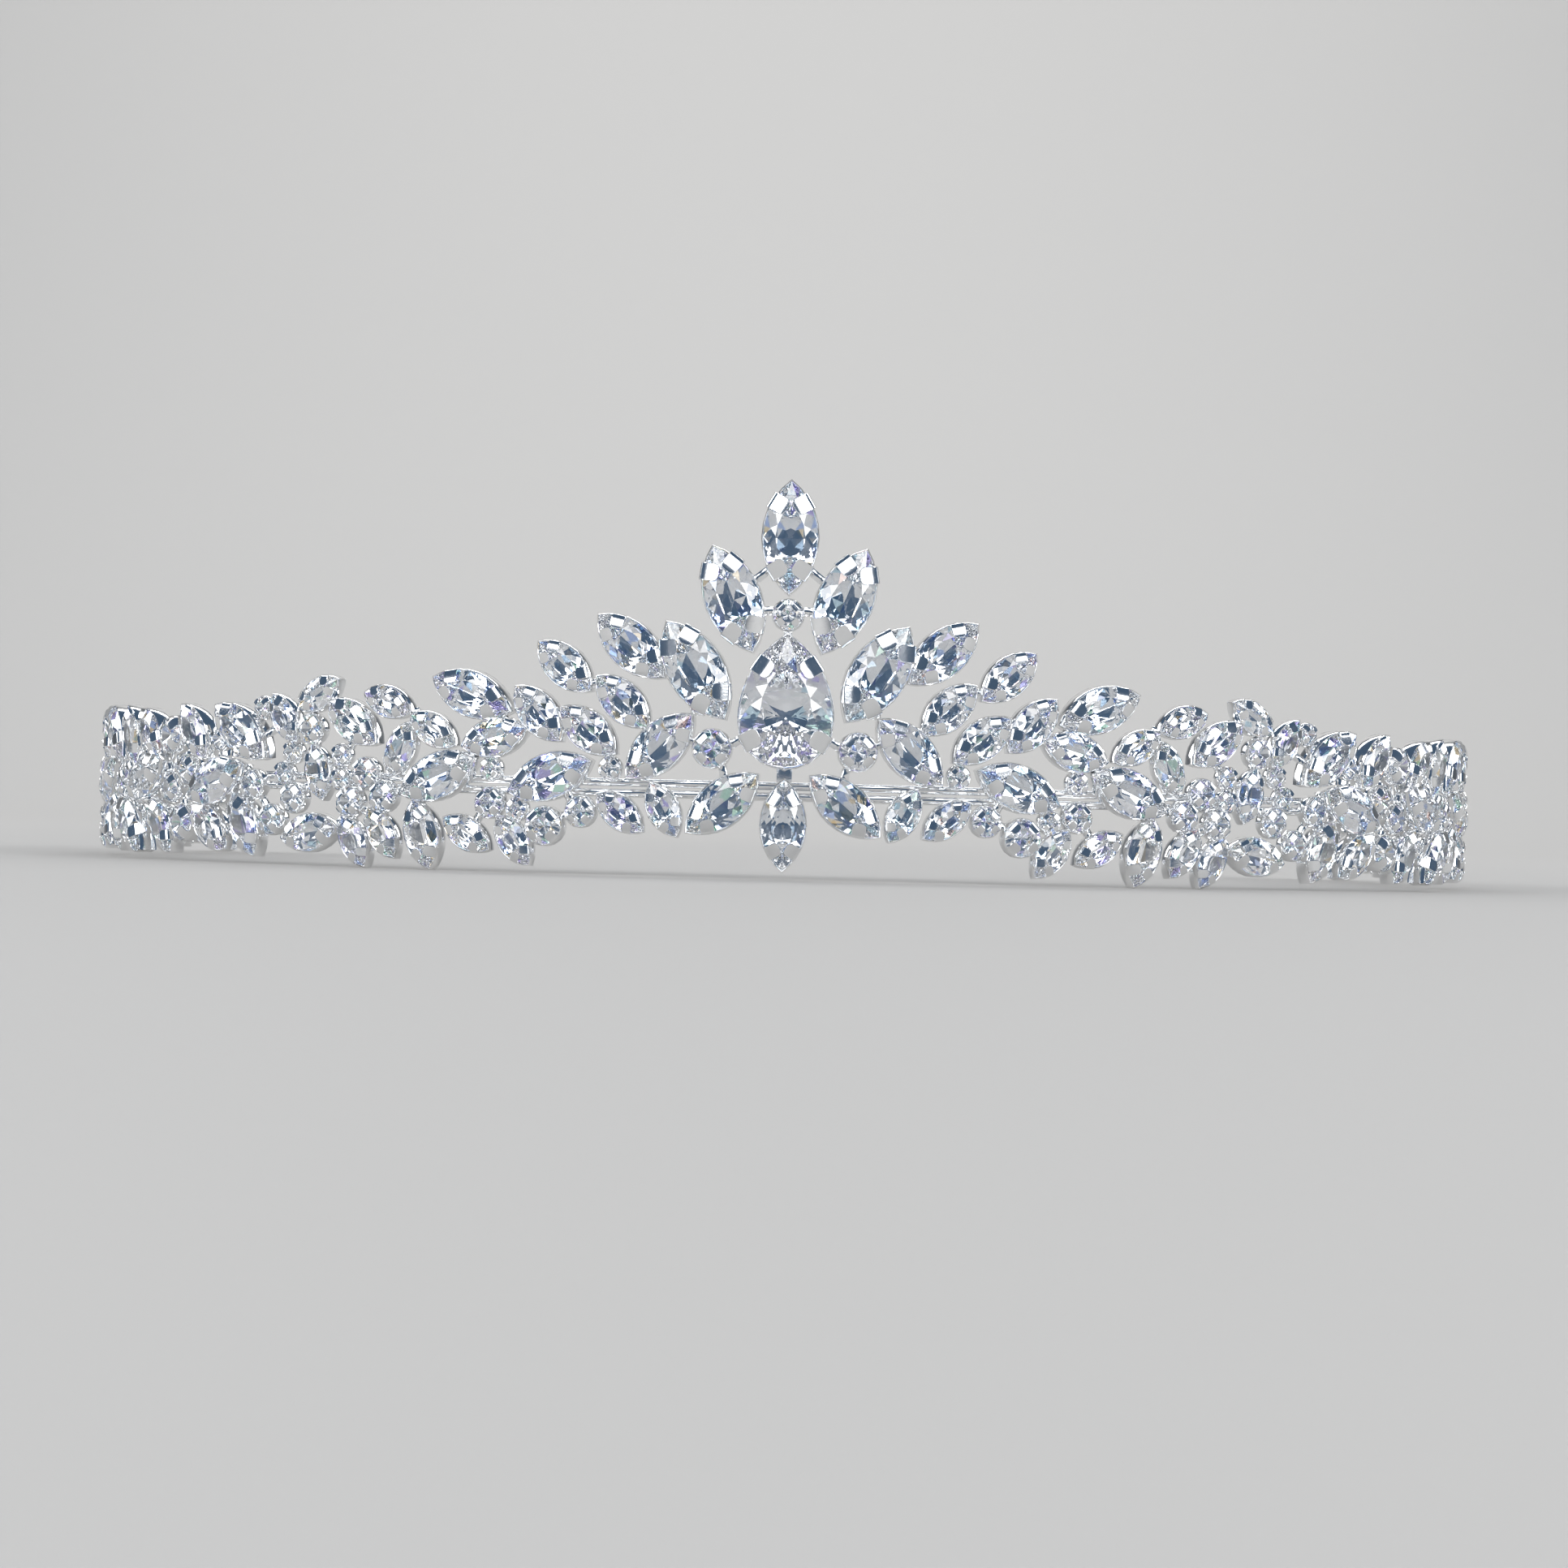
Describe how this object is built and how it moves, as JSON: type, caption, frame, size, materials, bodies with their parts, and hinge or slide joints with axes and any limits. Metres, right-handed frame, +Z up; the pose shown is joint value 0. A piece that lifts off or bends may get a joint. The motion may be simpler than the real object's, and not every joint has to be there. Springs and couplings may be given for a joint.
{
  "type": "diadem",
  "caption": "Horseshoe diadem of white metal with a raised front, set all over with clear marquise, pear and round cut stones in open claw cups.",
  "frame": {"origin": "centre of the bounding box, on the surface that the diadem stands on", "axes": "+Z up, the front ornament faces -Y, +X to the right as seen from the front"},
  "size_m": [0.1656, 0.1264, 0.0417],
  "materials": {
    "silver": "polished white metal plating over brass",
    "stone": "clear cut stone"
  },
  "bodies": {
    "root": {"frame": "silver", "right_field": "stone", "left_field": "stone", "pear_stone": "stone", "top_marquise": "stone", "crown_round": "stone", "pendant_marquise": "stone", "upper_marquise_right": "stone", "upper_marquise_left": "stone", "shoulder_marquise_right": "stone", "shoulder_marquise_left": "stone", "inner_round_right": "stone", "inner_round_left": "stone", "inner_marquise_right": "stone", "inner_marquise_left": "stone", "lower_marquise_right": "stone", "lower_marquise_left": "stone", "lower_bud_right": "stone", "lower_bud_left": "stone", "wing_marquise_1_right": "stone", "wing_marquise_1_left": "stone", "wing_marquise_2_right": "stone", "wing_marquise_2_left": "stone", "wing_marquise_3_right": "stone", "wing_marquise_3_left": "stone", "wing_marquise_4_right": "stone", "wing_marquise_4_left": "stone", "wing_marquise_5_right": "stone", "wing_marquise_5_left": "stone", "wing_marquise_6_right": "stone", "wing_marquise_6_left": "stone", "wing_marquise_7_right": "stone", "wing_marquise_7_left": "stone", "wing_marquise_8_right": "stone", "wing_marquise_8_left": "stone", "wing_marquise_9_right": "stone", "wing_marquise_9_left": "stone"}
  },
  "joints": []
}
